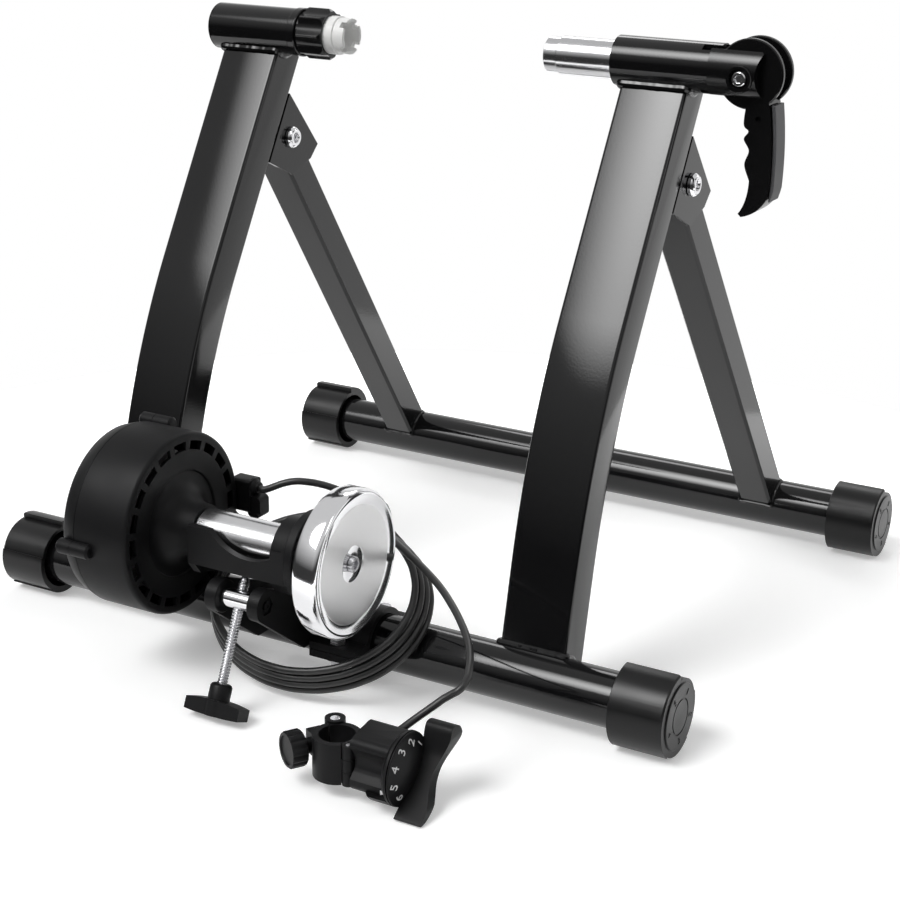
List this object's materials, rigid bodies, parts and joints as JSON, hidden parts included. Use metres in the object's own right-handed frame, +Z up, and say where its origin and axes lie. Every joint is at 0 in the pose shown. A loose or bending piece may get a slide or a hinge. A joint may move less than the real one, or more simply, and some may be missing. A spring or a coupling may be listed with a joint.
{
  "type": "bicycle turbo trainer stand",
  "caption": "Folding bicycle turbo trainer with axle clamp, cam lever, magnetic roller unit, flywheel, cable and remote shifter",
  "frame": {"origin": "middle of the footprint on the floor, measured without the cable", "axes": "+X along the foot bars to the lever side, +Y from the front bar to the rear bar, +Z up"},
  "size_m": [0.5518, 0.5918, 0.4327],
  "materials": {
    "black_paint": "satin",
    "chrome_parts": "polished",
    "steel_parts": "satin",
    "moulded_black": "matt",
    "white_nylon": "satin",
    "grey_grip": "matt",
    "cap_rubber": "matt",
    "cable_sleeve": "satin",
    "alloy": "cast"
  },
  "bodies": {
    "front_frame": {"front_foot_tube": "black_paint", "left_upright": "black_paint", "right_upright": "black_paint", "left_hinge_bracket": "black_paint", "right_hinge_bracket": "black_paint", "left_hinge_bolt": "chrome_parts", "right_hinge_bolt": "chrome_parts", "left_hinge_nut": "steel_parts", "right_hinge_nut": "steel_parts", "left_clamp_tube": "black_paint", "left_tube_plug": "moulded_black", "right_clamp_tube": "black_paint", "front_lever_cheek": "moulded_black", "rear_lever_cheek": "moulded_black", "lever_pivot_bolt": "chrome_parts", "unit_bracket": "moulded_black", "bar_clamp_strap": "moulded_black", "front_clamp_bolt": "steel_parts", "rear_clamp_bolt": "steel_parts", "tilt_pivot_bolt": "steel_parts", "cable_lead": "cable_sleeve", "cable_coil": "cable_sleeve", "cable_tail": "cable_sleeve", "shifter_body": "moulded_black", "clamp_hinge_pin": "steel_parts", "clamp_eye_pin": "chrome_parts"},
    "rear_frame": {"rear_foot_tube": "black_paint", "left_rear_leg": "black_paint", "right_rear_leg": "black_paint"},
    "front_left_cap": {"front_left_foot_cap": "cap_rubber"},
    "front_right_cap": {"front_right_foot_cap": "cap_rubber"},
    "rear_left_cap": {"rear_left_foot_cap": "cap_rubber"},
    "rear_right_cap": {"rear_right_foot_cap": "cap_rubber"},
    "knob": {"lock_knob": "moulded_black"},
    "cup": {"axle_cup": "white_nylon"},
    "ram_piece": {"ram": "chrome_parts"},
    "lever": {"cam_lever": "moulded_black", "lever_spine": "grey_grip"},
    "unit": {"yoke": "moulded_black", "housing_front_shell": "moulded_black", "housing_back_shell": "moulded_black", "cable_port": "moulded_black", "fixed_magnet_plate": "alloy", "left_bearing": "steel_parts", "right_bearing": "steel_parts", "bearing_collar": "moulded_black"},
    "spinning": {"drive_shaft": "steel_parts", "roller": "chrome_parts", "flywheel": "chrome_parts", "flywheel_screw": "steel_parts", "rotor_disc": "alloy"},
    "magnets": {"turning_magnet_plate": "alloy"},
    "dowel": {"cross_dowel": "chrome_parts"},
    "rod": {"adjuster_rod": "steel_parts"},
    "adjuster": {"adjuster_knob": "moulded_black"},
    "selector": {"shifter_dial": "moulded_black", "shifter_lever": "moulded_black"},
    "jaw": {"shifter_jaw": "moulded_black"},
    "jaw_screw": {"clamp_thumb_screw": "moulded_black"}
  },
  "joints": [
    {"name": "rear_fold", "type": "hinge", "parent": "front_frame", "child": "rear_frame", "pos_m": [-0.00343, 0.04826, 0.33], "axis": [-1, 0, 0], "range_deg": [0, 56]},
    {"name": "front_left_cap_turn", "type": "hinge", "parent": "front_frame", "child": "front_left_cap", "pos_m": [-0.25543, -0.12724, 0.02699], "axis": [1, 0, 0], "continuous": true},
    {"name": "front_right_cap_turn", "type": "hinge", "parent": "front_frame", "child": "front_right_cap", "pos_m": [0.24857, -0.12724, 0.02699], "axis": [1, 0, 0], "continuous": true},
    {"name": "rear_left_cap_turn", "type": "hinge", "parent": "rear_frame", "child": "rear_left_cap", "pos_m": [-0.24857, 0.26776, 0.02699], "axis": [1, 0, 0], "continuous": true},
    {"name": "rear_right_cap_turn", "type": "hinge", "parent": "rear_frame", "child": "rear_right_cap", "pos_m": [0.25543, 0.26776, 0.02699], "axis": [1, 0, 0], "continuous": true},
    {"name": "lock_knob_spin", "type": "hinge", "parent": "front_frame", "child": "knob", "pos_m": [-0.11242, 0.04316, 0.41], "axis": [1, 0, 0], "continuous": true},
    {"name": "cup_travel", "type": "slide", "parent": "front_frame", "child": "cup", "axis": [1, 0, 0], "range_m": [-0.02, 0.012]},
    {"name": "lever_turn", "type": "hinge", "parent": "front_frame", "child": "lever", "pos_m": [0.22357, 0.04316, 0.4072], "axis": [0, -1, 0], "range_deg": [0, 100]},
    {"name": "ram_travel", "type": "slide", "parent": "front_frame", "child": "ram_piece", "axis": [1, 0, 0], "range_m": [0, 0.0056]},
    {"name": "unit_tilt", "type": "hinge", "parent": "front_frame", "child": "unit", "pos_m": [-0.00343, -0.12724, 0.0608], "axis": [-1, 0, 0], "range_deg": [0, 18]},
    {"name": "roller_spin", "type": "hinge", "parent": "unit", "child": "spinning", "pos_m": [-0.00343, -0.18724, 0.1083], "axis": [1, 0, 0], "continuous": true},
    {"name": "magnet_turn", "type": "hinge", "parent": "unit", "child": "magnets", "pos_m": [-0.11142, -0.18724, 0.1083], "axis": [1, 0, 0], "range_deg": [-50, 15]},
    {"name": "dowel_swivel", "type": "hinge", "parent": "front_frame", "child": "dowel", "pos_m": [-0.01317, -0.20924, 0.0745], "axis": [-1, 0, 0], "range_deg": [0, 4.2]},
    {"name": "rod_travel", "type": "slide", "parent": "dowel", "child": "rod", "axis": [0, 0.4067, 0.9135], "range_m": [0, 0.0256]},
    {"name": "adjuster_turn", "type": "hinge", "parent": "rod", "child": "adjuster", "pos_m": [-0.01317, -0.23893, 0.00781], "axis": [0, 0.4067, 0.9135], "continuous": true},
    {"name": "selector_turn", "type": "hinge", "parent": "front_frame", "child": "selector", "pos_m": [0.15457, -0.27424, 0.0265], "axis": [1, 0, 0], "range_deg": [-100, 25]},
    {"name": "jaw_screw_travel", "type": "slide", "parent": "front_frame", "child": "jaw_screw", "axis": [-0.5299, -0.848, 0], "range_m": [0, 0.003]},
    {"name": "jaw_swing", "type": "hinge", "parent": "front_frame", "child": "jaw", "pos_m": [0.11847, -0.28361, 0.024], "axis": [0, 0, 1], "range_deg": [0, 4.6]}
  ],
  "couplings": [
    {"joint": "ram_travel", "follows": "lever_turn", "m_per_rad": 0.00305},
    {"joint": "rod_travel", "follows": "unit_tilt", "m_per_rad": 0.0785},
    {"joint": "dowel_swivel", "follows": "unit_tilt", "ratio": 0.2},
    {"joint": "magnet_turn", "follows": "selector_turn", "ratio": 0.48},
    {"joint": "jaw_swing", "follows": "jaw_screw_travel", "rad_per_m": 25}
  ]
}
